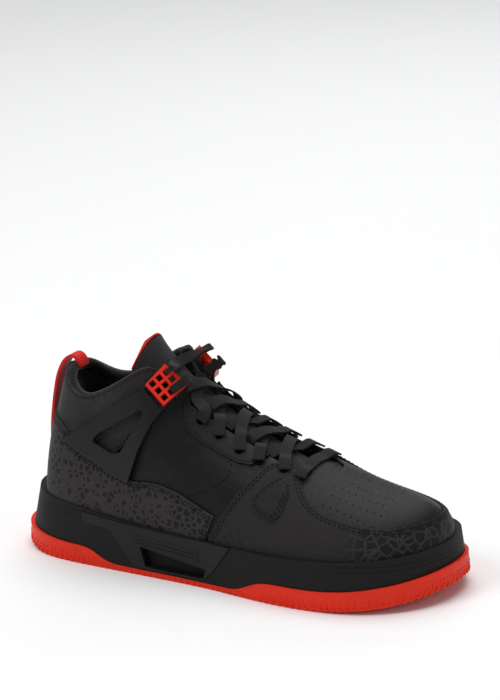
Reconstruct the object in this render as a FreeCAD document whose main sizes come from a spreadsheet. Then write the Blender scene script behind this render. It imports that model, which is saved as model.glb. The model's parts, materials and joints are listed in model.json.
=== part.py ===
import FreeCAD, Part
import Sketcher
import math
import os
from FreeCAD import Placement, Rotation, Vector

# A right-foot basketball high top. +X points to the toe, +Y to the medial side
# (the other foot), +Z up. The origin is on the ground under the middle of the
# sole. All sizes are millimetres.

doc = FreeCAD.newDocument("basketball_high_top")
sheet = doc.addObject("Spreadsheet::Sheet", "Dimensions")

DIMENSIONS = [
    ("outsole_floor", 3.2, "rubber under the midsole"),
    ("outsole_wall", 3.6, "rubber side wall round the midsole plug"),
    ("tread_depth", 1.8, "depth of the herringbone grooves"),
    ("tread_pitch", 13.0, "spacing of the herringbone grooves"),
    ("tread_width", 3.2, "width of one groove"),
    ("wall_gap", 0.1, "air between parts that only rest together"),
    ("leather", 1.4, "thickness of the base leather"),
    ("overlay", 1.4, "thickness of the overlays sewn onto it"),
    ("insert_skin", 0.9, "thickness of the stitched insert"),
    ("wing_skin", 2.3, "thickness of the moulded ankle wings"),
    ("stiffener", 0.8, "toe puff and heel counter"),
    ("lining", 1.0, "textile lining"),
    ("collar_padding", 5.0, "extra foam round the ankle"),
    ("roll_radius", 2.8, "padded roll along the collar rim"),
    ("frame_depth", 5.0, "how deep the arch frames sit in the midsole"),
    ("frame_proud", 0.6, "how far they stand out of it"),
    ("board", 1.6, "lasting board"),
    ("insole", 4.0, "removable sockliner"),
    ("insole_gap", 1.0, "air between sockliner and lining"),
    ("shank_length", 96.0, "stiffening plate under the arch"),
    ("shank_width", 34.0, "its width"),
    ("shank_thick", 1.2, "its thickness"),
    ("shank_centre", -24.0, "its middle along the shoe"),
    ("eyelet_radius", 2.3, "punched lace holes"),
    ("lace_width", 7.3, "flat lace"),
    ("lace_thick", 1.2, "its thickness"),
    ("lock_thick", 3.6, "lace lock plates"),
    ("lock_cell", 3.8, "square cells of their lattice"),
    ("lock_pitch", 5.6, "spacing of those cells"),
    ("lock_lift", 1.3, "how far they stand off the leather"),
    ("tab_width", 10.0, "heel pull tab"),
    ("tab_thick", 1.9, "its webbing"),
    ("tongue_skin", 1.2, "tongue leather"),
    ("tongue_foam_thick", 4.6, "tongue padding"),
    ("tongue_lining_thick", 0.9, "tongue lining"),
]
for row, (name, value, meaning) in enumerate(DIMENSIONS, start=1):
    sheet.set("A%d" % row, name)
    sheet.set("B%d" % row, str(value))
    sheet.set("C%d" % row, meaning)
    sheet.setAlias("B%d" % row, name)
doc.recompute()


def size(name):
    return float(sheet.get(name))


nodes = []


def add_shape(name, shape, place=None):
    item = doc.addObject("Part::Feature", name)
    item.Label = name
    item.Shape = shape
    item.Placement = place if place else Placement()
    nodes.append(item)
    return item


# ---------------------------------------------------------------- surfaces

def curve_through(points):
    curve = Part.BSplineCurve()
    curve.interpolate(Points=points, Parameters=[float(k) for k in range(len(points))])
    return curve


def ring_through(points):
    curve = Part.BSplineCurve()
    steps = [float(k) for k in range(len(points) + 1)]
    curve.interpolate(Points=points, PeriodicFlag=True, Parameters=steps)
    return curve


def skin(grid):
    rows = [curve_through(line) for line in grid]
    columns = []
    for k in range(rows[0].NbPoles):
        columns.append(curve_through([row.getPole(k + 1) for row in rows]))
    poles = []
    for m in range(columns[0].NbPoles):
        poles.append([column.getPole(m + 1) for column in columns])
    face = Part.BSplineSurface()
    face.buildFromPolesMultsKnots(
        poles, columns[0].getMultiplicities(), rows[0].getMultiplicities(),
        columns[0].getKnots(), rows[0].getKnots(), False, False,
        columns[0].Degree, rows[0].Degree)
    return face.toShape()


def strip(line_a, line_b):
    a = curve_through(line_a)
    b = curve_through(line_b)
    poles = [[a.getPole(k + 1), b.getPole(k + 1)] for k in range(a.NbPoles)]
    face = Part.BSplineSurface()
    face.buildFromPolesMultsKnots(
        poles, a.getMultiplicities(), [2, 2], a.getKnots(), [0.0, 1.0],
        False, False, a.Degree, 1)
    return face.toShape()


def closed_solid(faces):
    pile = Part.makeCompound(faces)
    pile.sewShape(0.002)
    shell = pile.Shells[0]
    solid = Part.makeSolid(shell)
    if solid.Volume < 0:
        solid.reverse()
    return solid


def edge_key(points):
    def flat(p):
        return (round(p.x, 2), round(p.y, 2), round(p.z, 2))
    ends = sorted([flat(points[0]), flat(points[-1])])
    return tuple(ends) + (flat(points[len(points) // 2]),)


def thick_panel(grids):
    # grids: pairs of (outer grid, inner grid); borders that two pairs share stay open
    faces = []
    borders = []
    for outer, inner in grids:
        faces.append(skin(outer))
        faces.append(skin(inner))
        borders.append((outer[0], inner[0]))
        borders.append((outer[-1], inner[-1]))
        borders.append(([line[0] for line in outer], [line[0] for line in inner]))
        borders.append(([line[-1] for line in outer], [line[-1] for line in inner]))
    keys = [edge_key(outer_line) for outer_line, inner_line in borders]
    for key, (outer_line, inner_line) in zip(keys, borders):
        if keys.count(key) == 1:
            faces.append(strip(outer_line, inner_line))
    return closed_solid(faces)


# ------------------------------------------------------------ upper surface
# Each row is one station along the upper, heel first. foot: where the upper
# meets the sole (x, lateral y, medial y, z). lean: the handle that sets how the
# wall leaves the sole (forward, outward, up). top: collar rim or ridge
# (x, half width, z). crown: the handle at the top (forward, outward, up).

STATIONS = [
    # foot                       lean               top                   crown
    ((-135.0, 0.0, 0.0, 24.0), (-0.5, 0.0, 30), (-117.5, 0.0, 119.0), (-9.0, 0.0, -33)),
    ((-129.0, -19.0, 19.0, 24.0), (-0.5, 1.0, 30), (-114.5, 12.5, 118.0), (-7.5, 4.5, -32)),
    ((-117.0, -31.0, 31.0, 24.0), (0.0, 2.0, 29), (-107.0, 21.5, 112.0), (-4.0, 6.5, -27)),
    ((-93.0, -35.5, 35.0, 23.5), (0.0, 3.5, 30), (-91, 28.0, 107.5), (0.0, 5.0, -21)),
    ((-64.0, -37.5, 35.5, 22.0), (0.0, 3.5, 32), (-66, 30.0, 119.0), (0.0, 5.0, -25)),
    ((-38.0, -39.0, 35.5, 20.5), (0.0, 3.5, 36), (-46, 26.0, 130.0), (1.0, 8.0, -16)),
    ((-18.0, -41.0, 36.5, 19.5), (0.0, 3.5, 38), (-31, 9.0, 124.5), (1.0, 19.0, -4)),
    ((2.0, -43.0, 38.5, 18.5), (0.0, 3.5, 38), (-10, 0.0, 107.5), (0.0, 26.0, 0)),
    ((26.0, -46.0, 42.0, 17.5), (0.0, 3.5, 37), (20, 0.0, 90.5), (0.0, 28.0, 0)),
    ((54.0, -48.5, 46.5, 17.0), (0.0, 3.5, 33), (50, 0.0, 78.0), (0.0, 30.0, 0)),
    ((83.0, -48.5, 47.5, 18.0), (0.0, 3.5, 28), (78, 0.0, 67.5), (0.0, 29.0, 0)),
    ((108.0, -43.0, 44.0, 20.0), (1.0, 3.5, 24), (100, 0.0, 61.0), (3.0, 26.0, 0)),
    ((124.5, -32.0, 35.0, 23.0), (3.5, 3.0, 20), (112, 0.0, 59.0), (9.0, 19.0, 0)),
    ((136.0, -16.0, 20.5, 25.5), (6.0, 1.5, 19), (118, 0.0, 58.5), (14.0, 9.0, 0)),
    ((140.0, 3.0, 3.0, 27.0), (8.0, 0.0, 18.5), (120, 0.0, 58.5), (16.0, 0.0, 0)),
]
TOE = len(STATIONS) - 1
RING = 2 * TOE


def station_handles(index, side):
    foot, lean, top, crown = STATIONS[index]
    y = foot[1] if side < 0 else foot[2]
    start = Vector(foot[0], y, foot[3])
    low = start + Vector(lean[0], side * lean[1], lean[2])
    end = Vector(top[0], side * top[1], top[2])
    high = end + Vector(crown[0], side * crown[1], crown[2])
    return start, low, high, end


order = [(k, -1) for k in range(TOE + 1)] + [(k, 1) for k in range(TOE - 1, 0, -1)]
handles = [station_handles(k, side) for k, side in order]
rings = [ring_through([item[k] for item in handles]) for k in range(4)]


def upper_point(station, rise):
    p0, p1, p2, p3 = [ring.value(station % RING) for ring in rings]
    f = 1.0 - rise
    return p0 * (f * f * f) + p1 * (3 * f * f * rise) + p2 * (3 * f * rise * rise) + p3 * rise ** 3


def upper_normal(station, rise):
    step = 0.01
    low = min(max(rise, 0.004), 0.996)
    along = upper_point(station + step, low) - upper_point(station - step, low)
    up = upper_point(station, low + 0.003) - upper_point(station, low - 0.003)
    normal = along.cross(up)
    normal.normalize()
    return normal


def on_upper(station, rise, depth):
    # depth is measured outwards from the outside of the base leather
    point = upper_point(station, rise)
    normal = upper_normal(station, rise)
    here = station % RING
    if rise > 0.999 and 6.9 <= here <= RING - 6.9:
        normal = Vector(normal.x, 0, normal.z)
        normal.normalize()
    return point + normal * depth


def walk(line, count):
    # evenly spaced points along an open outline of (station, rise) points
    lengths = [0.0]
    for (u0, v0), (u1, v1) in zip(line, line[1:]):
        lengths.append(lengths[-1] + math.hypot(22 * (u1 - u0), 90 * (v1 - v0)))
    result = []
    for k in range(count):
        goal = lengths[-1] * k / (count - 1)
        j = 0
        while j < len(line) - 2 and lengths[j + 1] < goal:
            j += 1
        part = (goal - lengths[j]) / (lengths[j + 1] - lengths[j])
        u = line[j][0] + part * (line[j + 1][0] - line[j][0])
        v = line[j][1] + part * (line[j + 1][1] - line[j][1])
        result.append((u, v))
    return result


def upper_grid(low_line, high_line, depth, along, across):
    lows = walk(low_line, along)
    highs = walk(high_line, along)
    grid = []
    for (u0, v0), (u1, v1) in zip(lows, highs):
        row = []
        for k in range(across):
            part = k / (across - 1)
            u = u0 + part * (u1 - u0)
            v = v0 + part * (v1 - v0)
            row.append(on_upper(u, v, depth(u, v)))
        grid.append(row)
    return grid


def level(value):
    return lambda station, rise: value


def upper_panel(regions, outer, inner, along=22, across=9):
    grids = []
    for low_line, high_line in regions:
        grids.append((upper_grid(low_line, high_line, outer, along, across),
                      upper_grid(low_line, high_line, inner, along, across)))
    return thick_panel(grids)


def other_side(line):
    return [(RING - u, v) for u, v in line]


def both_ways(line):
    # a lateral outline carried on round the heel to the medial side
    return [(-u, v) for u, v in reversed(line) if u > 0] + list(line)


def round_toe(line):
    # a lateral outline carried on round the toe to the medial side
    return list(line) + [(RING - u, v) for u, v in reversed(line) if u < TOE]


# ---------------------------------------------------------------- sole unit

FOOTPRINT = [
    (-149.5, 0), (-143.5, -21), (-127, -35), (-100, -41.5), (-65, -44), (-30, -46),
    (5, -49), (40, -54.5), (75, -56.5), (105, -52), (128, -39), (143, -20), (149.5, 4),
    (146, 25), (133, 41), (110, 52), (80, 55.5), (45, 52), (10, 45.5), (-30, 42.5),
    (-65, 42), (-100, 40.5), (-127, 35), (-143.5, 21),
]
# the midsole wall leans in: this is its outline at the height of the lip
LIP_INSET = [
    10.5, 9.0, 6.0, 4.0, 3.2, 3.2, 3.2, 3.4, 3.6, 3.9, 4.3, 5.0, 5.4,
    5.2, 4.6, 4.0, 3.6, 3.4, 3.2, 3.2, 3.2, 4.0, 6.0, 9.0,
]


def outline(inset, height):
    count = len(FOOTPRINT)
    base = ring_through([Vector(x, y, 0) for x, y in FOOTPRINT])
    points = []
    for k in range(count):
        place = base.value(float(k))
        run = base.tangent(float(k))[0]
        inward = Vector(-run.y, run.x, 0)
        inward.normalize()
        amount = inset[k] if isinstance(inset, list) else inset
        points.append(Vector(place.x, place.y, height) + inward * amount)
    curve = Part.BSplineCurve()
    curve.interpolate(Points=points, PeriodicFlag=True)
    return Part.Wire([curve.toShape()])


def column(inset, low, high):
    face = Part.Face(outline(inset, low))
    return face.extrude(Vector(0, 0, high - low))


BOTTOM = [(-156, 6.0), (-135, 1.5), (-116, -0.5), (-60, -0.6), (0, -0.6), (55, -0.5), (85, 0.6),
          (115, 3.0), (135, 6.5), (156, 12.0)]
RED_TOP = [(-156, 15.8), (-125, 13.5), (-100, 12), (-85, 10.5), (-73, 5.2), (-60, 3.7),
           (-20, 3.4), (15, 3.4), (26, 4.7), (40, 10.5), (60, 12.5), (90, 13.2),
           (120, 16.5), (156, 23)]
LIP = [(-156, 41.5), (-130, 40), (-105, 38), (-85, 36), (-60, 33), (-20, 30.5), (20, 29.5),
       (60, 29.5), (100, 31.0), (125, 33.2), (156, 37)]
POCKET_FLOOR = [(-156, 21), (-100, 20.5), (-60, 19), (0, 15.5), (50, 13.5), (90, 15),
                (120, 19.5), (156, 26)]


def profile_curve(points, lift):
    curve = Part.BSplineCurve()
    curve.interpolate(Points=[Vector(x, -70, z + lift) for x, z in points])
    return curve.toShape()


def slab(low, high, low_lift=0.0, high_lift=0.0):
    # everything between two long profiles, across the whole width
    lower = profile_curve(low, low_lift)
    upper = profile_curve(high, high_lift)
    first = Part.makeLine(lower.valueAt(lower.LastParameter), upper.valueAt(upper.LastParameter))
    last = Part.makeLine(upper.valueAt(upper.FirstParameter), lower.valueAt(lower.FirstParameter))
    wire = Part.Wire([lower, first, upper, last])
    return Part.Face(wire).extrude(Vector(0, 140, 0))


def flat_slab(points_low, height):
    top = [(x, height) for x, z in points_low]
    return slab(points_low, top)


def below(points, lift, depth):
    low = [(x, -depth) for x, z in points]
    return slab(low, points, 0.0, lift)


body = column(0.0, -5.0, 60.0)
gap = size("wall_gap")

ground = Part.makeBox(400, 200, 100, Vector(-200, -100, 0))
outsole = body.common(slab(BOTTOM, RED_TOP)).common(ground)
plug_room = column(size("outsole_wall"), -5.0, 60.0)
plug_room = plug_room.common(slab(BOTTOM, RED_TOP, size("outsole_floor"), 20.0))
outsole = outsole.cut(plug_room)

# herringbone grooves in the tread
grooves = []
pitch = size("tread_pitch")
half = size("tread_width") / 2
for k in range(-11, 12):
    x = k * pitch
    corners = []
    for y, shift in ((-60, 0), (-30, 7), (0, 0), (30, 7), (60, 0)):
        corners.append(Vector(x + shift - half, y, -5))
    for y, shift in ((60, 0), (30, 7), (0, 0), (-30, 7), (-60, 0)):
        corners.append(Vector(x + shift + half, y, -5))
    corners.append(corners[0])
    grooves.append(Part.Face(Part.makePolygon(corners)).extrude(Vector(0, 0, 60)))
tread_tool = Part.makeCompound(grooves).common(below(BOTTOM, size("tread_depth"), 9))
tread_tool = tread_tool.common(column(5.0, -10.0, 60.0))
outsole = outsole.cut(tread_tool)
add_shape("outsole", outsole)


def upper_outline(height, depth):
    points = []
    for k in range(2 * RING):
        station = k / 2
        low, high = 0.0, 0.6
        if upper_point(station, 0.0).z >= height:
            rise = 0.0
        else:
            for step in range(24):
                rise = (low + high) / 2
                if on_upper(station, rise, depth).z < height:
                    low = rise
                else:
                    high = rise
        place = on_upper(station, rise, depth)
        points.append(Vector(place.x, place.y, height))
    curve = Part.BSplineCurve()
    curve.interpolate(Points=points, PeriodicFlag=True)
    return Part.Wire([curve.toShape()])


overlay_out = 0.1 + size("overlay")
nest_depth = overlay_out + 0.3
nest = Part.makeLoft([upper_outline(z, nest_depth) for z in (12, 18, 24, 30, 36, 42, 48)],
                     True, False)
nest = nest.common(slab(POCKET_FLOOR, [(x, 47) for x, z in POCKET_FLOOR]))

wall = Part.makeLoft([outline(0.0, 2.0), outline(LIP_INSET, 44.0)], True, True)
wall = wall.common(slab(RED_TOP, LIP, gap, 0.0))
plug = column(size("outsole_wall") + gap, -5.0, 60.0)
plug = plug.common(slab(BOTTOM, RED_TOP, size("outsole_floor") + gap, gap))
midsole = wall.fuse(plug).cut(nest)

# ------------------------------------------------------------- arch frames

FRAME = [(-91, 33), (-90, 27.5), (-73, 26.6), (-69, 25.8), (-57, 11.5), (-52.5, 5.0),
         (0.5, 5.0), (7, 11), (17.6, 25), (21, 29.5)]
FRAME_TOP = [(21, 29.5), (-20, 29.6), (-60, 31.5), (-91, 34.2)]
WINDOW = [(-47, 18.8), (-39, 17.6), (2.5, 12), (0.5, 6.4), (-3, 5.8), (-34, 5.8), (-43, 6.4)]


def side_face(points, y):
    corners = [Vector(x, y, z) for x, z in points]
    corners.append(corners[0])
    return Part.Face(Part.makePolygon(corners))


def side_prism(points, y0, y1):
    return side_face(points, y0).extrude(Vector(0, y1 - y0, 0))


frame_outline = FRAME + FRAME_TOP[1:]
proud = size("frame_proud")
shell_in = [value + size("frame_depth") for value in LIP_INSET]
shell_out = [value - proud for value in LIP_INSET]
ring_out = Part.makeLoft([outline(-proud, 2.0), outline(shell_out, 44.0)], True, True)
ring_in = Part.makeLoft([outline(size("frame_depth"), 2.0), outline(shell_in, 44.0)], True, True)
frame_ring = ring_out.cut(ring_in)
frame_room = Part.makeLoft(
    [outline(size("frame_depth") + gap, 2.0), outline([v + gap for v in shell_in], 44.0)], True, True)
for side, name in ((-1, "arch_frame_lateral"), (1, "arch_frame_medial")):
    block = side_prism(frame_outline, side * 25, side * 62)
    hole = side_prism(WINDOW, side * 25, side * 62)
    frame = block.common(frame_ring).cut(hole)
    ceiling = slab([(x, -9) for x, z in LIP], LIP, 0.0, -0.3)
    # three raised ribs over the window
    ribs = []
    for low in (19.6, 22.0, 24.4):
        ribs.append(side_prism([(-52, low), (-3, low - 3), (-3, low - 2), (-52, low + 1)],
                               side * 25, side * 62))
    rib_skin = Part.makeLoft([outline(-proud - 0.7, 2.0),
                              outline([v - 0.7 for v in shell_out], 44.0)], True, True).cut(ring_in)
    frame = frame.fuse([rib.common(rib_skin) for rib in ribs]).cut(nest).common(ceiling)
    add_shape(name, frame)
    midsole = midsole.cut(block.cut(frame_room))

shank_low = 4.4
shank = doc.addObject("PartDesign::Body", "shank")
shank.Label = "shank"
doc.recompute()


def origin_plane(body, role):
    for feature in body.Origin.OriginFeatures:
        if feature.Role == role:
            return feature


origin_axis = origin_plane


sketch = shank.newObject("Sketcher::SketchObject", "shank_outline")
sketch.AttachmentSupport = [(origin_plane(shank, "XY_Plane"), "")]
sketch.MapMode = "FlatFace"
corner = [Vector(-48, -17, 0), Vector(48, -17, 0), Vector(48, 17, 0), Vector(-48, 17, 0)]
for k in range(4):
    sketch.addGeometry(Part.LineSegment(corner[k], corner[(k + 1) % 4]))
for k in range(4):
    sketch.addConstraint(Sketcher.Constraint("Coincident", k, 2, (k + 1) % 4, 1))
sketch.addConstraint(Sketcher.Constraint("Horizontal", 0))
sketch.addConstraint(Sketcher.Constraint("Horizontal", 2))
sketch.addConstraint(Sketcher.Constraint("Vertical", 1))
sketch.addConstraint(Sketcher.Constraint("Vertical", 3))
sketch.addConstraint(Sketcher.Constraint("Symmetric", 0, 1, 1, 2, -1, 1))
long_side = sketch.addConstraint(Sketcher.Constraint("DistanceX", 0, 1, 0, 2, 96))
short_side = sketch.addConstraint(Sketcher.Constraint("DistanceY", 1, 1, 1, 2, 34))
sketch.setExpression("Constraints[%d]" % long_side, "Dimensions.shank_length")
sketch.setExpression("Constraints[%d]" % short_side, "Dimensions.shank_width")
plate = shank.newObject("PartDesign::Pad", "shank_plate")
plate.Profile = sketch
plate.setExpression("Length", "Dimensions.shank_thick")
shank.Placement = Placement(Vector(size("shank_centre"), 0, shank_low), Rotation())
nodes.append(shank)
half_length = size("shank_length") / 2 + gap
half_width = size("shank_width") / 2 + gap
shank_room = Part.makeBox(2 * half_length, 2 * half_width, size("shank_thick") + 2 * gap + 4,
                          Vector(size("shank_centre") - half_length, -half_width, shank_low - gap - 4))
midsole = midsole.cut(shank_room)
add_shape("midsole", midsole)


def inside_plate(depth, low_lift, high_lift):
    loft = Part.makeLoft([upper_outline(z, depth) for z in (12, 18, 24, 30, 36)], True, False)
    return loft.common(slab(POCKET_FLOOR, POCKET_FLOOR, low_lift, high_lift))


board_top = gap + size("board")
add_shape("lasting_board", inside_plate(0.0, gap, board_top))

# --------------------------------------------------------------- the upper

leather = size("leather")
puff_out = -leather - 0.15
puff_in = puff_out - size("stiffener")
lining_out = puff_in - 0.15
lining_in = lining_out - size("lining")
padding = size("collar_padding")


def pad(station, rise):
    # how thick the collar padding is, 0 to 1
    turn = station % RING
    turn = min(turn, RING - turn)
    front = min(max((4.9 - turn) / 1.6, 0.0), 1.0)
    climb = min(max((rise - 0.50) / 0.22, 0.0), 1.0)
    roll = 1.0 - 0.55 * min(max((rise - 0.86) / 0.14, 0.0), 1.0)
    smooth_front = front * front * (3 - 2 * front)
    smooth_climb = climb * climb * (3 - 2 * climb)
    return smooth_front * smooth_climb * roll


THROAT = [(6.1, 0.765), (6.47, 0.745), (7.0, 0.753), (8.0, 0.77), (8.95, 0.785)]
SPLIT = [(0.0, 0.43), (2.0, 0.43), (3.6, 0.47), (4.8, 0.61), (5.2, 0.665), (5.6, 0.70),
         (5.87, 0.725)]
quarter_low = [(0.03, 0.02), (8.95, 0.02)]
quarter_high = [(0.03, 0.43)] + SPLIT[1:] + THROAT
vamp_front = [(9.0, 0.785), (9.33, 0.79), (9.62, 0.836), (9.74, 0.92), (9.79, 1.0)]
vamp_side_low = [(9.0, 0.02), (10.3, 0.02)]
vamp_toe_low = [(10.3, 0.02), (14.0, 0.02)]
vamp_toe_high = [(9.79, 1.0), (14.0, 1.0)]

for side, name in ((-1, "quarter_lateral"), (1, "quarter_medial")):
    low, high = quarter_low, quarter_high
    if side > 0:
        low, high = other_side(low), other_side(high)
    add_shape(name, upper_panel([(low, high)], level(0.0), level(-leather), 34, 9))

toe_regions = [(vamp_side_low, vamp_front), (vamp_toe_low, vamp_toe_high)]
toe_regions += [(other_side(low), other_side(high)) for low, high in toe_regions]
add_shape("vamp", upper_panel(toe_regions, level(0.0), level(-leather), 14, 11))
add_shape("vamp_lining", upper_panel(toe_regions, level(lining_out), level(lining_in), 14, 11))

# the gusset that closes the front of the throat, under the edge of the vamp
gusset_faces = []
for depth in (-1.65, -2.35):
    grid = []
    for k in range(13):
        swing = k / 6 - 1
        rise = 1.0 - 0.185 * abs(swing)
        front = 9.86 - 0.30 * abs(swing) ** 3
        row = []
        for step in range(6):
            station = 9.12 + (front - 9.12) * step / 5
            place = station if swing <= 0 else RING - station
            row.append(on_upper(place, rise, depth))
        grid.append(row)
    gusset_faces.append(grid)
add_shape("throat_gusset", thick_panel([(gusset_faces[0], gusset_faces[1])]))

puff_low = round_toe([(12.1, 0.05), (14.0, 0.05)])
puff_high = round_toe([(12.1, 0.90), (14.0, 0.90)])
add_shape("toe_puff",
          upper_panel([(puff_low, puff_high)], level(puff_out), level(puff_in), 17, 9))

counter_low = both_ways([(0.0, 0.05), (3.4, 0.05)])
counter_high = both_ways([(0.0, 0.44), (1.6, 0.44), (3.0, 0.34), (3.4, 0.26)])
add_shape("heel_counter",
          upper_panel([(counter_low, counter_high)], level(puff_out), level(puff_in), 21, 6))

collar_low = [(u, v + 0.012) for u, v in SPLIT]
collar_high = [(0.0, 1.0), (2.5, 1.0), (5.0, 1.0), (5.3, 0.985), (5.6, 0.925), (5.86, 0.835)]
add_shape("collar_panel",
          upper_panel([(both_ways(collar_low), both_ways(collar_high))],
                      level(0.0), level(-leather), 45, 9))

foam_low = both_ways([(0.0, 0.50), (4.7, 0.66)])
foam_high = both_ways([(0.0, 0.915), (4.7, 0.915)])
add_shape("collar_foam",
          upper_panel([(foam_low, foam_high)], level(puff_out),
                      lambda u, v: puff_in - padding * pad(u, v), 41, 11))


def bead(line, reach, sink, radius):
    # a padded roll that follows the collar rim: reach is how far inside the
    # leather its middle runs, sink how far below the edge
    middles, sides, ups = [], [], []
    for station, rise in line:
        edge = upper_point(station, rise)
        out = upper_normal(station, rise)
        ahead = upper_point(station + 0.02, rise) - upper_point(station - 0.02, rise)
        ahead.normalize()
        side = out - ahead * out.dot(ahead)
        side.normalize()
        up = side.cross(ahead)
        if up.z < 0:
            up = up * -1
        middles.append(edge - side * reach - up * sink)
        sides.append(side)
        ups.append(up)
    halves = []
    for start in (0, 180):
        grid = []
        for middle, side, up in zip(middles, sides, ups):
            row = []
            for k in range(7):
                angle = math.radians(start + 30 * k)
                row.append(middle + side * (radius * math.cos(angle))
                           + up * (radius * math.sin(angle)))
            grid.append(row)
        halves.append(grid)
    faces = [skin(grid) for grid in halves]
    for end in (0, -1):
        wire = Part.Wire([curve_through(grid[end]).toShape() for grid in halves])
        faces.append(Part.makeFilledFace(wire.Edges))
    return closed_solid(faces)


bead_line = walk(both_ways([(0.0, 1.0), (4.6, 1.0), (5.2, 0.985)]), 41)
add_shape("collar_roll", bead(bead_line, 4.5, 1.5, size("roll_radius")))
bootie_low = both_ways([(0.0, 0.02), (8.95, 0.02)])
bootie_high = both_ways([(0.0, 0.90), (2.5, 0.90), (4.9, 0.90), (5.3, 0.90), (5.6, 0.87),
                         (5.86, 0.81)] + THROAT)
add_shape("collar_lining",
          upper_panel([(bootie_low, bootie_high)],
                      lambda u, v: lining_out - padding * pad(u, v),
                      lambda u, v: lining_in - padding * pad(u, v), 71, 15))

# overlays
mud_low = round_toe([(6.93, 0.02), (14.0, 0.02)])
mud_high = round_toe([(6.98, 0.07), (7.67, 0.298), (7.93, 0.404), (8.25, 0.544), (8.42, 0.655),
                      (8.56, 0.735), (8.75, 0.768), (9.0, 0.765), (9.25, 0.70), (9.42, 0.61),
                      (9.65, 0.54), (10.1, 0.50), (10.71, 0.481), (11.66, 0.476), (13.3, 0.51),
                      (14.0, 0.535)])
over_out = 0.1 + size("overlay")
add_shape("mudguard",
          upper_panel([(mud_low, mud_high)], level(over_out), level(0.1), 61, 7))
heel_low = both_ways([(0.0, 0.02), (6.75, 0.02)])
heel_high = both_ways([(0.0, 0.72), (1.0, 0.715), (2.2, 0.70), (2.45, 0.66), (2.6, 0.59),
                       (3.2, 0.50), (4.4, 0.344), (6.0, 0.285), (7.28, 0.235)])
add_shape("heel_overlay",
          upper_panel([(heel_low, heel_high)], level(over_out), level(0.1), 61, 7))

INSERT = [(32.5, 57), (40, 67), (47, 71.5), (53, 69), (55.5, 64), (54, 54), (50, 49.6), (39, 52.6)]
skin_low = over_out + 0.1
skin_high = skin_low + size("insert_skin")
for side, name in ((-1, "insert_lateral"), (1, "insert_medial")):
    low = [(8.0, 0.30), (9.5, 0.30)]
    high = [(8.0, 0.74), (9.5, 0.74)]
    if side > 0:
        low, high = other_side(low), other_side(high)
    sheet_solid = upper_panel([(low, high)], level(skin_high), level(skin_low), 7, 7)
    add_shape(name, sheet_solid.common(side_prism(INSERT, side * 10, side * 60)))

STAY_LOW = [(6.3, 0.60), (7.0, 0.585), (7.85, 0.60), (8.15, 0.635)]
STAY_HIGH = [(6.3, 0.755), (6.47, 0.745), (7.0, 0.753), (8.0, 0.77), (8.43, 0.775)]
for side, name in ((-1, "eyestay_lateral"), (1, "eyestay_medial")):
    low, high = STAY_LOW, STAY_HIGH
    if side > 0:
        low, high = other_side(low), other_side(high)
    add_shape(name, upper_panel([(low, high)], level(over_out), level(0.1), 25, 6))

# --------------------------------------------------------------- lace locks
# A lattice plate that lies on each front corner of the collar. Its outline is
# given in the plate's own plane: first down the collar edge, then inwards.

LOCK = [(-8.0, -9.3), (9.2, -9.3), (8.6, 10.6), (-10.2, 8.4)]
LOCK_MIDDLE = Vector(-34.7, -23.8, 118.5)
LOCK_DOWN = Vector(0.719, 0.0, -0.695)
LOCK_OUT = Vector(0.495, -0.700, 0.512)
LOCK_IN = LOCK_OUT.cross(LOCK_DOWN)


def sketch_polygon(body, name, points):
    drawing = body.newObject("Sketcher::SketchObject", name)
    drawing.AttachmentSupport = [(origin_plane(body, "XY_Plane"), "")]
    drawing.MapMode = "FlatFace"
    count = len(points)
    for k in range(count):
        ax, ay = points[k]
        bx, by = points[(k + 1) % count]
        drawing.addGeometry(Part.LineSegment(Vector(ax, ay, 0), Vector(bx, by, 0)))
    for k in range(count):
        drawing.addConstraint(Sketcher.Constraint("Coincident", k, 2, (k + 1) % count, 1))
    return drawing


def add_lock(name, side):
    body = doc.addObject("PartDesign::Body", name)
    body.Label = name
    doc.recompute()
    corners = LOCK if side < 0 else [(b, a) for a, b in LOCK]
    plate = body.newObject("PartDesign::Pad", name + "_plate")
    plate.Profile = sketch_polygon(body, name + "_outline", corners)
    plate.setExpression("Length", "Dimensions.lock_thick")
    doc.recompute()
    whole = plate.Shape.Volume
    reach = size("lock_pitch")
    half = size("lock_cell") / 2
    cell = [(-reach - half, -reach - half), (-reach + half, -reach - half),
            (-reach + half, -reach + half), (-reach - half, -reach + half)]
    hole = body.newObject("PartDesign::Pocket", name + "_cell")
    hole.Profile = sketch_polygon(body, name + "_cell_outline", cell)
    hole.Type = "ThroughAll"
    hole.Reversed = True
    doc.recompute()
    if hole.Shape.Volume >= whole:
        raise RuntimeError("the lock's cell cuts nothing")
    grid = body.newObject("PartDesign::MultiTransform", name + "_lattice")
    rows = body.newObject("PartDesign::LinearPattern", name + "_rows")
    rows.Direction = (origin_axis(body, "X_Axis"), [""])
    rows.setExpression("Length", "2 * Dimensions.lock_pitch")
    rows.Occurrences = 3
    columns = body.newObject("PartDesign::LinearPattern", name + "_columns")
    columns.Direction = (origin_axis(body, "Y_Axis"), [""])
    columns.setExpression("Length", "2 * Dimensions.lock_pitch")
    columns.Occurrences = 3
    grid.Originals = [hole]
    grid.Transformations = [rows, columns]
    body.Tip = grid
    doc.recompute()
    out = Vector(LOCK_OUT.x, -side * LOCK_OUT.y, LOCK_OUT.z)
    down = LOCK_DOWN
    inward = Vector(LOCK_IN.x, -side * LOCK_IN.y, LOCK_IN.z)
    first, second = (down, inward) if side < 0 else (inward, down)
    frame = FreeCAD.Matrix(first.x, second.x, out.x, 0, first.y, second.y, out.y, 0,
                           first.z, second.z, out.z, 0, 0, 0, 0, 1)
    place = Placement(frame)
    middle = Vector(LOCK_MIDDLE.x, -side * LOCK_MIDDLE.y, LOCK_MIDDLE.z)
    place.Base = middle + out * size("lock_lift")
    body.Placement = place
    doc.recompute()
    nodes.append(body)
    return body


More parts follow.
